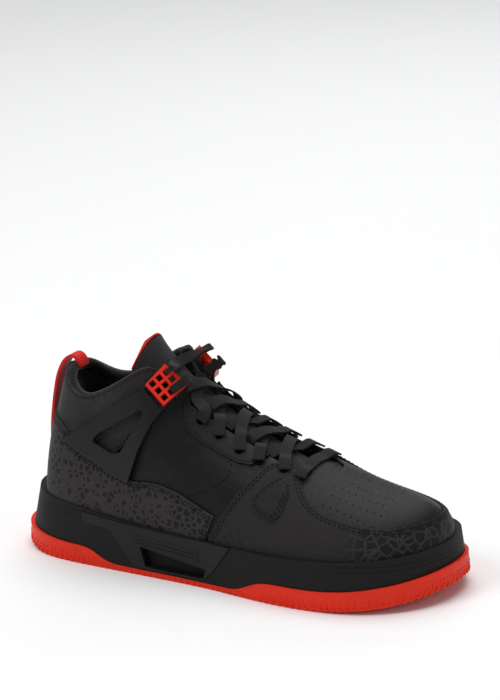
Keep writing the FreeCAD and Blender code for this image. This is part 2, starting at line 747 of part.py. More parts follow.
WING = [(-109, 77.5), (-104, 78), (-55, 58), (-47, 80), (-38, 98), (-30, 109), (-40, 121.5),
        (-59, 111), (-86, 92)]
WING_WINDOW = [(-46, 106), (-43.5, 105.5), (-46, 99), (-60, 77.5), (-67, 76), (-80, 80.6),
               (-81, 82.5), (-77, 87)]
lock_blanks = {}
for side, name in ((-1, "lace_lock_lateral"), (1, "lace_lock_medial")):
    lock_body = add_lock(name, side)
    blank = Part.makeBox(26, 26, size("lock_thick") + 1.0, Vector(-13, -11.5, -0.5))
    if side > 0:
        blank = Part.makeBox(26, 26, size("lock_thick") + 1.0, Vector(-11.5, -13, -0.5))
    blank.Placement = lock_body.Placement
    lock_blanks[side] = blank
wing_low = over_out + 0.15
wing_high = wing_low + size("wing_skin")
for side, name in ((-1, "wing_lateral"), (1, "wing_medial")):
    low = [(2.0, 0.26), (6.2, 0.26)]
    high = [(2.0, 0.93), (6.2, 0.93)]
    if side > 0:
        low, high = other_side(low), other_side(high)
    plate_solid = upper_panel([(low, high)], level(wing_high), level(wing_low), 15, 11)
    prism = side_prism(WING, side * 10, side * 60).cut(side_prism(WING_WINDOW, side * 9, side * 61))
    add_shape(name, plate_solid.common(prism).cut(lock_blanks[side]))

# ---------------------------------------------------------------- sockliner
insole_low = board_top + size("lining") + 0.3
add_shape("sockliner", inside_plate(lining_in - size("insole_gap"), insole_low,
                                    insole_low + size("insole")))

# ------------------------------------------------------------------- tongue
# The tongue runs from its root under the front of the throat to the crown. Its
# middle line is (x, z, half width, sag): sag is how far its edges wrap back.

TONGUE = [(68, 62.0, 19, 6.5), (50, 71.5, 21, 10.0), (20, 84.7, 23, 13.5), (-8, 99.8, 23, 15.5),
          (-29, 114.8, 22, 16.0), (-44, 128.8, 21, 15.0), (-55.5, 143.2, 20, 13.5)]
tongue_middle = curve_through([Vector(x, 0, z) for x, z, half_w, sag in TONGUE])
tongue_sizes = curve_through([Vector(half_w, sag, 0) for x, z, half_w, sag in TONGUE])


def on_tongue(run, across, depth):
    # run: 0 at the root to 6 at the crown; across: -1 to 1; depth: outwards
    def place(r, a):
        r = r - 0.55 * a * a * max(r - 4.0, 0.0) / 2.0
        point = tongue_middle.value(r)
        ahead = tongue_middle.tangent(r)[0]
        out = Vector(-ahead.z, 0, ahead.x)
        if out.z < 0:
            out = out * -1
        widths = tongue_sizes.value(r)
        return point - out * (widths.y * a * a) + Vector(0, widths.x * a, 0)
    step = 0.01
    along = place(min(run + step, 6.0), across) - place(max(run - step, 0.0), across)
    over = place(run, across + step) - place(run, across - step)
    normal = over.cross(along)
    if normal.z + normal.x < 0:
        normal = normal * -1
    normal.normalize()
    return place(run, across) + normal * depth


def tongue_panel(run0, run1, outer, inner, along, across, width=1.0):
    def grid(depth):
        lines = []
        for i in range(along):
            r = run0 + (run1 - run0) * i / (along - 1)
            line = []
            for j in range(across):
                a = width * (2 * j / (across - 1) - 1)
                line.append(on_tongue(r, a, depth(r, a)))
            lines.append(line)
        return lines
    return thick_panel([(grid(outer), grid(inner))])


skin_t = size("tongue_skin")
foam_t = size("tongue_foam_thick")
back_t = size("tongue_lining_thick")


def foam_back(run, across):
    taper = 1 - across * across
    return -skin_t - 0.1 - 0.9 - (foam_t - 0.9) * taper


add_shape("tongue_outer", tongue_panel(0.0, 5.9, level(0.0), level(-skin_t), 19, 9))
add_shape("tongue_foam", tongue_panel(0.5, 5.88, level(-skin_t - 0.1), foam_back, 17, 9, 0.96))
add_shape("tongue_lining", tongue_panel(
    0.3, 5.9, lambda r, a: foam_back(r, a) - 0.1,
    lambda r, a: foam_back(r, a) - 0.1 - back_t, 17, 9, 0.98))
add_shape("tongue_binding", tongue_panel(
    5.93, 6.0, level(0.7), lambda r, a: foam_back(r, a) - 0.1 - back_t - 0.6, 4, 9, 1.0))

# ----------------------------------------------------------------- lacing
EYELETS = [(8.85, 0.718), (8.28, 0.69), (7.83, 0.68), (7.33, 0.688), (6.82, 0.695)]


def side_station(side, station):
    return station if side < 0 else RING - station


def eyelet_tools(depth_low, depth_high):
    tools = []
    for side in (-1, 1):
        for station, rise in EYELETS:
            place = side_station(side, station)
            low = on_upper(place, rise, depth_low)
            direction = upper_normal(place, rise)
            tools.append(Part.makeCylinder(size("eyelet_radius"), depth_high - depth_low,
                                           low, direction))
    return Part.makeCompound(tools)


punch = eyelet_tools(-8.0, 6.0)
for item in nodes:
    if item.Label in ("quarter_lateral", "quarter_medial", "eyestay_lateral", "eyestay_medial",
                      "collar_lining", "mudguard", "vamp", "vamp_lining"):
        item.Shape = item.Shape.cut(punch)

lace_half = size("lace_width") / 2
lace_thick = size("lace_thick")


def ribbon(path, widths):
    # path: (point, out) pairs; the band is flat across the run and out directions
    top, under = [], []
    for k, (point, out) in enumerate(path):
        before = path[max(k - 1, 0)][0]
        after = path[min(k + 1, len(path) - 1)][0]
        run = after - before
        across = run.cross(out)
        across.normalize()
        face_out = across.cross(run)
        face_out.normalize()
        reach = widths[k]
        top_mid = point + face_out * (lace_thick / 2)
        under_mid = point - face_out * (lace_thick / 2)
        top.append([top_mid + across * (reach * w) for w in (-1, -0.33, 0.33, 1)])
        under.append([under_mid + across * (reach * w) for w in (-1, -0.33, 0.33, 1)])
    return thick_panel([(top, under)])


def lace_cross(side, row, over):
    # from the eyelet of one row, over the eyestay and the tongue, down to the
    # far edge of the throat, towards the next row
    start_station, start_rise = EYELETS[row]
    end_station, end_rise = EYELETS[row + 1]
    path = []
    widths = []
    count = 23
    reach = 0.63
    over_depth, under_depth = -0.1, -3.0
    middle = over_depth if over else under_depth
    climb_from, climb_to = (0.40, 0.74) if over else (0.37, 0.71)
    for k in range(count):
        part = k / (count - 1) * (1 + reach) / 2
        swing = 2 * part - 1
        station = start_station + (end_station - start_station) * part
        rise0 = start_rise + (end_rise - start_rise) * part
        rise = 1.0 - (1.0 - rise0) * abs(swing)
        start_depth = over_out + 1.4
        if swing < 0:
            bend = min(max((-swing - climb_from) / (climb_to - climb_from), 0.0), 1.0)
            depth = middle + (start_depth - middle) * bend * bend * (3 - 2 * bend)
            place = side_station(side, station)
        else:
            bend = min(max((swing - 0.50) / 0.13, 0.0), 1.0)
            depth = middle + (-2.6 - middle) * bend * bend * (3 - 2 * bend)
            place = side_station(-side, station)
        out = upper_normal(place, min(rise, 0.995))
        if rise > 0.93:
            out = Vector(out.x, out.y * 0.5, out.z)
            out.normalize()
        path.append((on_upper(place, rise, depth), out))
        widths.append(lace_half)
    return ribbon(path, widths)


for row in range(4):
    add_shape("lace_cross_%d_lateral" % (row + 1), lace_cross(-1, row, row % 2 == 0))
    add_shape("lace_cross_%d_medial" % (row + 1), lace_cross(1, row, row % 2 == 1))



def lock_point(side, down, inward, lift):
    out = Vector(LOCK_OUT.x, -side * LOCK_OUT.y, LOCK_OUT.z)
    along = Vector(LOCK_IN.x, -side * LOCK_IN.y, LOCK_IN.z)
    middle = Vector(LOCK_MIDDLE.x, -side * LOCK_MIDDLE.y, LOCK_MIDDLE.z)
    return middle + LOCK_DOWN * down + along * inward + out * (size("lock_lift") + lift), out


def smooth_lace(stops, count):
    # stops: (point, out, half width); a smooth band through all of them
    middle = curve_through([stop[0] for stop in stops])
    path, widths = [], []
    for k in range(count):
        at = (len(stops) - 1) * k / (count - 1)
        j = min(int(at), len(stops) - 2)
        part = at - j
        part = part * part * (3 - 2 * part)
        facing = stops[j][1] * (1 - part) + stops[j + 1][1] * part
        path.append((middle.value(at), facing))
        widths.append(stops[j][2] * (1 - part) + stops[j + 1][2] * part)
    return ribbon(path, widths)


def over_tongue(run, across, lift):
    return (on_tongue(run, across, lift), on_tongue(run, across, 1.0) - on_tongue(run, across, 0.0))


narrow = size("lock_cell") / 2 - 0.5
pitch_in_lock = size("lock_pitch")
for side, name, lift in ((-1, "lace_cross_5_lateral", 2.3), (1, "lace_cross_5_medial", 4.9)):
    station, rise = EYELETS[4]
    home = side_station(side, station)
    start = (on_upper(home, rise, over_out + 1.4), upper_normal(home, rise), lace_half)
    edge = (on_upper(home, rise + 0.09, over_out + 1.5), upper_normal(home, rise + 0.06), lace_half)
    point_a, out_a = over_tongue(3.55, side * 0.40, lift + 0.7)
    point_b, out_b = over_tongue(3.8, 0.0, lift)
    point_c, out_c = over_tongue(4.0, -side * 0.45, lift + 0.7)
    lock_in, lock_out = lock_point(-side, pitch_in_lock, 0.0, size("lock_thick") + 1.6)
    lock_edge, lock_out2 = lock_point(-side, pitch_in_lock + 1.0, 12.9, 4.2)
    stops = [start, edge, (point_a, out_a, lace_half), (point_b, out_b, lace_half),
             (point_c, out_c, lace_half), (lock_edge, lock_out2, lace_half * 0.9),
             (lock_in, lock_out, lace_half * 0.7)]
    add_shape(name, smooth_lace(stops, 31))

top_left, top_left_out = lock_point(-1, -pitch_in_lock, pitch_in_lock, size("lock_thick") + 0.9)
top_right, top_right_out = lock_point(1, -pitch_in_lock, pitch_in_lock, size("lock_thick") + 0.9)
edge_left, edge_left_out = lock_point(-1, -pitch_in_lock, 12.0, 3.4)
edge_right, edge_right_out = lock_point(1, -pitch_in_lock, 12.0, 3.4)
top_middle, top_out = over_tongue(4.75, 0.0, 1.6)
add_shape("lace_top", smooth_lace([
    (top_left, top_left_out, narrow), (edge_left, edge_left_out, lace_half * 0.8),
    (top_middle, top_out, lace_half), (edge_right, edge_right_out, lace_half * 0.8),
    (top_right, top_right_out, narrow)], 29))

bar_path = []
for k in range(19):
    swing = 2 * k / 18 - 1
    side = -1 if swing < 0 else 1
    station, rise0 = EYELETS[0]
    station = station + 0.36
    rise = 1.0 - (1.0 - rise0) * abs(swing)
    bend = min(max((abs(swing) - 0.35) / 0.45, 0.0), 1.0)
    depth = -0.5 + (over_out + 1.4 + 0.5) * bend * bend * (3 - 2 * bend)
    place = side_station(side, station)
    bar_path.append((on_upper(place, rise, depth), upper_normal(place, min(rise, 0.995))))
add_shape("lace_bar", ribbon(bar_path, [lace_half] * 19))

# ----------------------------------------------------------------- pull tab
TAB = [(-133.7, 66), (-133.2, 74), (-132.4, 81), (-131.2, 88.5), (-129.8, 96), (-128.2, 103),
       (-126.4, 109.5), (-124.0, 115), (-121.4, 119.3), (-118.2, 122.4), (-115.2, 123.7),
       (-112.4, 123.0), (-110.2, 120.4), (-109.0, 116.8)]
tab_line = curve_through([Vector(x, 0, z) for x, z in TAB])
tab_out, tab_in = [], []
for k in range(37):
    at = k / 36 * (len(TAB) - 1)
    place = tab_line.value(at)
    run = tab_line.tangent(at)[0]
    out = Vector(-run.z, 0, run.x)
    tab_out.append(place + out * (size("tab_thick") / 2))
    tab_in.append(place - out * (size("tab_thick") / 2))
tab_edges = [curve_through(tab_out).toShape(), curve_through(list(reversed(tab_in))).toShape()]
tab_wire = Part.Wire([tab_edges[0], Part.makeLine(tab_out[-1], tab_in[-1]), tab_edges[1],
                      Part.makeLine(tab_in[0], tab_out[0])])
tab = Part.Face(tab_wire).extrude(Vector(0, size("tab_width"), 0))
add_shape("heel_pull_tab", tab, Placement(Vector(0, -size("tab_width") / 2, 0), Rotation()))

# ------------------------------------------------------------- check, write
doc.recompute()
problems = []
for item in doc.Objects:
    if "Invalid" in item.State or "Error" in item.State:
        problems.append("%s is %s" % (item.Label, item.State))
for item in nodes:
    if item.Shape.isNull() or not item.Shape.isValid():
        problems.append("%s has a bad shape" % item.Label)
    elif not item.Shape.Solids:
        problems.append("%s has no solid" % item.Label)
if problems:
    for line in problems:
        print("PROBLEM", line)
os.makedirs("parts", exist_ok=True)
for item in nodes:
    box = item.Shape.BoundBox
    print("%-22s solids %d volume %9.1f  x %7.1f %7.1f  y %6.1f %6.1f  z %6.1f %6.1f" % (
        item.Label, len(item.Shape.Solids), item.Shape.Volume, box.XMin, box.XMax,
        box.YMin, box.YMax, box.ZMin, box.ZMax))
    item.Shape.exportStep("parts/%s.step" % item.Label)
if problems:
    raise SystemExit(1)
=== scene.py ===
import json
import math

import bmesh
import bpy
from mathutils import Matrix, Vector, noise
from mathutils.bvhtree import BVHTree

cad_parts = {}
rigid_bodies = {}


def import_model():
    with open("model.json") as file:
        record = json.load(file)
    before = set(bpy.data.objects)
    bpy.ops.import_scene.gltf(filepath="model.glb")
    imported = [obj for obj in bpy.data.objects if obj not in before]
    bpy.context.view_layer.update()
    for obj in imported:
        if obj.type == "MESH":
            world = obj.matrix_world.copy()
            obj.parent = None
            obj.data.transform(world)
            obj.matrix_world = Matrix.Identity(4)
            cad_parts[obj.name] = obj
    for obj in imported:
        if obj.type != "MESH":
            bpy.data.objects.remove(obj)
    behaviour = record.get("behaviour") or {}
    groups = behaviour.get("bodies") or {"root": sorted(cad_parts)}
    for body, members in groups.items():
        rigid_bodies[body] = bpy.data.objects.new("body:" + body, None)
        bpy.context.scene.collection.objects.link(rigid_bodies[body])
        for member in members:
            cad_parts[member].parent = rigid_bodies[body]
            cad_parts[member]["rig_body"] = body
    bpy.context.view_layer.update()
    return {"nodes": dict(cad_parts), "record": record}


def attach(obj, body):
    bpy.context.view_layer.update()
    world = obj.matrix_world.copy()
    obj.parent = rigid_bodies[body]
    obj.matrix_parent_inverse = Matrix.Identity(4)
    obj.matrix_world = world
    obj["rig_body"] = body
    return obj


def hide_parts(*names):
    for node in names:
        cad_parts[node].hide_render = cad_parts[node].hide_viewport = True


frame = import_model()
nodes = frame["nodes"]
slot_of = {row["node"]: row["material_slot"] for row in frame["record"]["subparts"]}
body_of_node = {name: thing["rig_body"] for name, thing in nodes.items()}
MM = 0.001

STITCH_STEP = 3.1          # mm from one stitch to the next
SHORTEST_SEAM = 0.03       # m; a shorter closed rim is an eyelet hole, which has no stitches
SOLE_REAR, SOLE_FRONT = -0.098, 0.088   # m; centres of the sole's round heel and toe
SHAFT_BACK, TOE_MIDDLE = -0.085, 0.09   # m; how far back and forward the shoe's middle line goes

# ------------------------------------------------------------ node helpers
WAVES_PER_UNIT = 3.2       # a wave texture of scale 1 has about this many bands in a metre


class Look:
    """One procedural material, with short names for the nodes that it needs."""

    def __init__(self, name, roughness=0.6, **single_values):
        self.material = bpy.data.materials.new(name)
        self.material.use_nodes = True
        self.tree = self.material.node_tree
        self.shader = self.tree.nodes["Principled BSDF"]
        self.shader.inputs["Roughness"].default_value = roughness
        self.shader.inputs["Specular IOR Level"].default_value = 0.2
        for socket, value in single_values.items():
            self.shader.inputs[socket.replace("_", " ")].default_value = value
        self.place = self.node("ShaderNodeTexCoord").outputs["Object"]

    def node(self, kind, inputs=None, **settings):
        made = self.tree.nodes.new(kind)
        for key, value in settings.items():
            setattr(made, key, value)
        for key, value in (inputs or {}).items():
            if isinstance(value, bpy.types.NodeSocket):
                self.tree.links.new(value, made.inputs[key])
            else:
                made.inputs[key].default_value = value
        return made

    def noise(self, scale, detail=3.0, rough=0.55):
        return self.node("ShaderNodeTexNoise", {
            "Vector": self.place, "Scale": scale, "Detail": detail,
            "Roughness": rough}).outputs["Fac"]

    def cell_edges(self, scale, place):
        """How far a place is from the edge of its cell, 0 on the edge itself."""
        return self.node("ShaderNodeTexVoronoi", {"Vector": place, "Scale": scale},
                         feature="DISTANCE_TO_EDGE").outputs["Distance"]

    def bands(self, scale, direction, distortion=0.0):
        return self.node("ShaderNodeTexWave", {
            "Vector": self.place, "Scale": scale, "Distortion": distortion},
            wave_type="BANDS", bands_direction=direction).outputs["Fac"]

    def math(self, operation, a, b=0.0, c=0.0, clamp=False):
        made = self.node("ShaderNodeMath", {0: a, 1: b, 2: c}, operation=operation)
        made.use_clamp = clamp
        return made.outputs[0]

    def step(self, value, low, high):
        made = self.node("ShaderNodeMapRange", {
            "Value": value, "From Min": low, "From Max": high}, interpolation_type="SMOOTHSTEP")
        return made.outputs["Result"]

    def mix(self, factor, first, second):
        made = self.node("ShaderNodeMix", data_type="RGBA")
        for index, value in ((0, factor), (6, first), (7, second)):
            if isinstance(value, bpy.types.NodeSocket):
                self.tree.links.new(value, made.inputs[index])
            else:
                made.inputs[index].default_value = value if index == 0 else (*value, 1.0)
        return made.outputs[2]

    def shaken(self, scale, amount):
        """The place, moved about by noise, for uneven outlines."""
        cloud = self.node("ShaderNodeTexNoise", {
            "Vector": self.place, "Scale": scale, "Detail": 2.0}).outputs["Color"]
        middle = self.node("ShaderNodeVectorMath", {0: cloud, 1: (0.5, 0.5, 0.5)},
                           operation="SUBTRACT").outputs[0]
        moved = self.node("ShaderNodeVectorMath", {0: middle, 1: (amount, amount, amount)},
                          operation="MULTIPLY").outputs[0]
        return self.node("ShaderNodeVectorMath", {0: self.place, 1: moved},
                         operation="ADD").outputs[0]

    def axis(self, letter):
        return self.node("ShaderNodeSeparateXYZ", {0: self.place}).outputs[letter]

    def paint(self, socket):
        self.tree.links.new(socket, self.shader.inputs["Base Color"])

    def dull(self, factor, low, high):
        made = self.node("ShaderNodeMapRange", {
            "Value": factor, "To Min": low, "To Max": high})
        self.tree.links.new(made.outputs["Result"], self.shader.inputs["Roughness"])

    def relief(self, *layers, edge=0.5):
        """Bump layers of (height socket, depth in mm), over edges rounded to edge mm."""
        normal = None
        if edge:
            normal = self.node("ShaderNodeBevel", {"Radius": edge * MM}, samples=4).outputs[0]
        for height, depth in layers:
            inputs = {"Height": height, "Distance": depth * MM, "Strength": 1.0}
            if normal:
                inputs["Normal"] = normal
            normal = self.node("ShaderNodeBump", inputs).outputs[0]
        self.tree.links.new(normal, self.shader.inputs["Normal"])
        return self.material


def leather(name, dark, light, grain, grain_depth, gloss, sheen=0.0):
    """Leather: grain is its cells per metre, and gloss its lowest and highest roughness. The
    grain's creases are painted darker, as painted shade.
    """
    look = Look(name, Sheen_Weight=sheen, Sheen_Roughness=0.4)
    mottle = look.noise(55.0, 5.0, 0.6)
    pebble = look.cell_edges(grain, look.shaken(300.0, 0.0012))
    grain_crease_and_shade = look.step(pebble, 0.0, 0.22)
    fine = look.noise(3800.0, 2.0)
    base = look.mix(look.step(mottle, 0.3, 0.7), dark, light)
    # the grain's creases are painted darker: painted shade in them; the same mask also bumps them
    look.paint(look.mix(look.math("MULTIPLY", look.math("SUBTRACT", 1.0, grain_crease_and_shade), 0.45),
                        base, tuple(v * 0.45 for v in dark)))
    look.dull(mottle, *gloss)
    look.relief((look.noise(140.0, 3.0), 0.35), (grain_crease_and_shade, grain_depth), (fine, 0.04))
    return look.material


def printed_spots(look, scale, gap, shake=0.0012):
    """Dark polygons with rounded corners, a little apart: 1 inside them, 0 between."""
    place = look.shaken(420.0, shake)
    edge = look.cell_edges(scale, place)
    return look.step(edge, gap, gap + 0.06)


def spotted_suede(name):
    """Dark grey suede with a print of near-black spots, a few of them missing."""
    look = Look(name, 0.85, Sheen_Weight=0.12, Sheen_Roughness=0.5)
    spots = printed_spots(look, 225.0, 0.125)
    present = look.step(look.noise(150.0, 2.0), 0.40, 0.47)
    mask = look.math("MULTIPLY", spots, present)
    nap = look.noise(900.0, 4.0, 0.7)
    base = look.mix(nap, (0.0203, 0.0172, 0.0164), (0.0437, 0.0374, 0.0351))
    look.paint(look.mix(mask, base, (0.0066, 0.0059, 0.0059)))
    look.relief((nap, 0.12), (mask, 0.05), (look.noise(160.0), 0.25))
    return look.material


def cracked_nubuck(name):
    """Dark nubuck. The print is large plates at the toe, and faint spots at the midfoot."""
    look = Look(name, 0.82, Sheen_Weight=0.08, Sheen_Roughness=0.5)
    plates = printed_spots(look, 155.0, 0.06, 0.002)
    spots = printed_spots(look, 205.0, 0.14)
    along, height = look.axis("X"), look.axis("Z")
    toe = look.math("MULTIPLY", look.step(along, 0.088, 0.112),
                    look.math("SUBTRACT", 1.0, look.step(height, 0.047, 0.057)))
    middle = look.math("MULTIPLY", look.math("SUBTRACT", 1.0, look.step(along, 0.02, 0.05)),
                       look.math("SUBTRACT", 1.0, look.step(height, 0.040, 0.052)))
    mask = look.math("ADD", look.math("MULTIPLY", plates, toe),
                     look.math("MULTIPLY", look.math("MULTIPLY", spots, middle), 0.5),
                     clamp=True)
    nap = look.noise(1000.0, 4.0, 0.7)
    cloud = look.noise(60.0, 4.0, 0.6)
    dark = look.mix(nap, (0.0109, 0.0098, 0.0094), (0.0234, 0.0211, 0.0203))
    pale = look.mix(nap, (0.0203, 0.0179, 0.0172), (0.0359, 0.0320, 0.0304))
    base = look.mix(look.math("MAXIMUM", look.math("MULTIPLY", cloud, 0.4), toe), dark, pale)
    look.paint(look.mix(mask, base, (0.0074, 0.0066, 0.0066)))
    look.relief((nap, 0.1), (mask, 0.06), (look.noise(150.0), 0.25))
    return look.material


def rubber(name, dark, light, roughness, grain_depth=0.05, edge=0.45):
    """Rubber or moulded plastic, with a fine grain and edges rounded to edge mm."""
    look = Look(name)
    cloud = look.noise(70.0, 4.0)
    look.paint(look.mix(cloud, dark, light))
    look.dull(look.noise(900.0, 3.0), roughness - 0.07, roughness + 0.08)
    look.relief((look.noise(1800.0, 3.0), grain_depth), edge=edge)
    return look.material


def midsole_rubber(name):
    """Matte black, with two narrow grooves round the heel and the toe under the lip, made as bumps
    and painted darker as painted shade in them.
    """
    look = Look(name)
    height = look.axis("Z")
    along = look.axis("X")
    heel = look.math("LESS_THAN", along, -0.088)
    toe = look.math("GREATER_THAN", along, 0.094)
    grooves_and_shade = 0.0
    for end, levels in ((heel, (0.0312, 0.0345)), (toe, (0.0262, 0.0292))):
        for level in levels:
            line = look.math("COMPARE", height, level, 0.00042)
            grooves_and_shade = look.math("ADD", look.math("MULTIPLY", line, end), grooves_and_shade)
    cloud = look.noise(60.0, 4.0)
    base = look.mix(cloud, (0.0055, 0.0051, 0.0050), (0.0098, 0.0090, 0.0087))
    # the grooves' near-black colour is painted shade
    look.paint(look.mix(grooves_and_shade, base, (0.0023, 0.0023, 0.0023)))
    look.dull(cloud, 0.55, 0.68)
    look.relief((look.math("SUBTRACT", 1.0, grooves_and_shade), 0.5), (look.noise(1500.0), 0.05))
    return look.material


def woven(name, dark, light, thread=1.1, directions=("X", "Z"), roughness=0.8, sheen=0.25):
    """Woven or knitted cloth, with its threads this many mm apart."""
    look = Look(name, roughness, Sheen_Weight=sheen, Sheen_Roughness=0.45)
    per_metre = 1.0 / (thread * MM) / WAVES_PER_UNIT
    warp = look.bands(per_metre, directions[0], 0.3)
    weft = look.bands(per_metre, directions[1], 0.3)
    weave = look.math("MULTIPLY", warp, weft)
    look.paint(look.mix(look.math("MULTIPLY", weave, 0.9), dark, light))
    look.relief((weave, 0.25), (look.noise(2600.0), 0.06), edge=0.35)
    return look.material


def lace_cloth(name):
    """Flat woven lace: low ribs along it, with fine picks across."""
    look = Look(name, 0.8, Sheen_Weight=0.1, Sheen_Roughness=0.4)
    slope = look.math("SUBTRACT", look.math("MULTIPLY", look.axis("X"), 0.75),
                      look.math("MULTIPLY", look.axis("Z"), 0.65))
    ribs = look.math("SINE", look.math("MULTIPLY", slope, 2 * math.pi / (1.3 * MM)))
    ribs = look.step(ribs, -1.0, 1.0)
    picks = look.noise(1700.0, 2.0, 0.6)
    weave = look.math("ADD", look.math("MULTIPLY", ribs, 0.5), look.math("MULTIPLY", picks, 0.5))
    look.paint(look.mix(weave, (0.0059, 0.0048, 0.0045), (0.0203, 0.0172, 0.0156)))
    look.relief((weave, 0.28), (look.noise(3000.0), 0.05), edge=0.6)
    return look.material


looks = {
    "red_rubber": rubber("Red rubber", (0.74, 0.024, 0.006), (0.84, 0.033, 0.009), 0.50),
    "black_midsole": midsole_rubber("Midsole"),
    "frame_tpu": rubber("Arch frame", (0.0063, 0.0059, 0.0059), (0.0100, 0.0095, 0.0093), 0.34,
                        0.03, 0.9),
    "shank_plastic": rubber("Shank", (0.0052, 0.0052, 0.0052), (0.0089, 0.0089, 0.0089), 0.45),
    "board_fibre": woven("Board", (0.16, 0.13, 0.10), (0.30, 0.26, 0.21)),
    "sockliner_fabric": woven("Sockliner", (0.0059, 0.0059, 0.0067), (0.0163, 0.0163, 0.0178), 1.0,
                              ("X", "Y")),
    "quarter_leather": leather("Quarter", (0.0046, 0.0049, 0.0061), (0.0074, 0.0078, 0.0095),
                               1500.0, 0.04, (0.34, 0.46)),
    "vamp_leather": leather("Vamp", (0.0092, 0.0087, 0.0087), (0.0152, 0.0143, 0.0141),
                            1500.0, 0.05, (0.38, 0.52)),
    "lining_textile": woven("Lining", (0.0026, 0.0024, 0.0026), (0.0074, 0.0070, 0.0073), 1.3),
    "stiffener_plastic": rubber("Stiffener", (0.10, 0.09, 0.08), (0.14, 0.13, 0.12), 0.6),
    "collar_leather": leather("Collar", (0.0163, 0.0141, 0.0130), (0.0311, 0.0270, 0.0248), 620.0,
                              0.22, (0.5, 0.66), 0.1),
    "padding_foam": rubber("Foam", (0.25, 0.23, 0.20), (0.33, 0.31, 0.27), 0.9, 0.2),
    "mudguard_nubuck": cracked_nubuck("Mudguard"),
    "heel_suede": spotted_suede("Heel overlay"),
    "insert_leather": leather("Insert", (0.0126, 0.0111, 0.0110), (0.0222, 0.0200, 0.0194), 800.0,
                              0.10, (0.62, 0.78), 0.15),
    "eyestay_leather": leather("Eyestay", (0.0063, 0.0061, 0.0065), (0.0107, 0.0104, 0.0107),
                               1400.0, 0.05, (0.38, 0.5)),
    "wing_tpu": rubber("Wing", (0.0100, 0.0095, 0.0096), (0.0144, 0.0137, 0.0138), 0.38, 0.03, 1.1),
    "tongue_leather": leather("Tongue", (0.0148, 0.0133, 0.0127), (0.0266, 0.0241, 0.0229), 700.0,
                              0.18, (0.5, 0.65), 0.1),
    "tongue_textile": woven("Tongue lining", (0.0026, 0.0024, 0.0026),
                            (0.0074, 0.0070, 0.0073), 1.3),
    "red_binding": woven("Binding", (0.52, 0.012, 0.008), (0.74, 0.022, 0.014), 1.0,
                         ("X", "Y"), 0.7, 0.0),
    "red_webbing": woven("Webbing", (0.62, 0.012, 0.007), (0.86, 0.022, 0.012), 1.2,
                         ("Y", "Z"), 0.6, 0.0),
    "red_lock": rubber("Lace lock", (0.72, 0.024, 0.010), (0.82, 0.032, 0.014), 0.36, 0.02),
    "lace_textile": lace_cloth("Lace"),
}
thread_look = rubber("Thread", (0.0035, 0.0032, 0.0032), (0.0065, 0.006, 0.006), 0.55, 0.02)
# near-black discs for the vamp's perforations: painted shade where the holes are not cut
perforation_shade_look = rubber("Hole", (0.002, 0.002, 0.002), (0.004, 0.004, 0.004), 0.9, 0.01)

for name, thing in nodes.items():
    thing.data.materials.clear()
    thing.data.materials.append(looks[slot_of[name]])
    for face in thing.data.polygons:
        face.material_index = 0


# --------------------------------------------------------- mesh helpers
def new_piece(name, work, material, body, smooth=True):
    """The bmesh as an object that rides on a body. The bmesh is freed."""
    mesh = bpy.data.meshes.new(name)
    work.to_mesh(mesh)
    work.free()
    mesh.materials.append(material)
    for face in mesh.polygons:
        face.use_smooth = smooth
    piece = bpy.data.objects.new(name, mesh)
    bpy.context.scene.collection.objects.link(piece)
    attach(piece, body)
    return piece


def merged(*names):
    """A bmesh of these nodes' surfaces, with split vertices joined up."""
    work = bmesh.new()
    for name in names:
        work.from_mesh(nodes[name].data)
    bmesh.ops.remove_doubles(work, verts=work.verts, dist=2e-5)
    work.normal_update()
    return work


def surface(names):
    """Every face of these nodes as one tree for rays, and the node that each face is from."""
    points, faces, owner = [], [], []
    for name in names:
        start = len(points)
        points.extend(v.co.copy() for v in nodes[name].data.vertices)
        for face in nodes[name].data.polygons:
            faces.append([start + k for k in face.vertices])
            owner.append(name)
    return BVHTree.FromPolygons(points, faces), owner


everything, owner_of = surface(sorted(nodes))


def first_hit(start, direction, reach=1.0):
    """Where a ray first meets the shoe, with the surface's normal there and the node's name."""
    point, normal, index, far = everything.ray_cast(start, direction, reach)
    if point is None:
        return None, None, None
    if normal.dot(direction) > 0:
        normal = -normal
    return point, normal, owner_of[index]


def outward(point):
    """Roughly the way out of the shoe from a point on its upper."""
    forward = min(max((point.x + 0.04) / 0.05, 0.0), 1.0)
    middle = Vector((min(max(point.x, SHAFT_BACK), TOE_MIDDLE), 0.0,
                     (point.z - 0.01) * (1 - forward) + 0.028 * forward))
    return (point - middle).normalized()


def even_steps(line, step, closed=False):
    """Points at equal steps along a line of points."""
    points = list(line) + ([line[0]] if closed else [])
    made, carried = [points[0]], 0.0
    for a, b in zip(points, points[1:]):
        length = (b - a).length
        while length > 0 and carried + length >= step:
            part = (step - carried) / length
            a = a.lerp(b, part)
            made.append(a)
            length = (b - a).length
            carried = 0.0
        carried += length
    return made


# ------------------------------------------------------------- stitching
def stitch_row(work, points, normals, length=2.2, radius=0.42):
    """Adds one small rounded stitch at every point, along the row."""
    for k, (point, normal) in enumerate(zip(points, normals)):
        before = points[max(k - 1, 0)]
        after = points[min(k + 1, len(points) - 1)]
        along = after - before
        along -= normal * along.dot(normal)
        if along.length < 1e-6 or along.length > 0.012:
            continue
        along.normalize()
        across = normal.cross(along)
        turn = Matrix((along, across, normal)).transposed().to_4x4()
        turn.translation = point + normal * (radius * 0.35 * MM)
        size = Matrix.Diagonal((length / 2 * MM, radius * MM, radius * MM, 1.0))
        bmesh.ops.create_uvsphere(work, u_segments=8, v_segments=5, radius=1.0,
                                  matrix=turn @ size @ Matrix.Rotation(math.pi / 2, 4, "Y"))


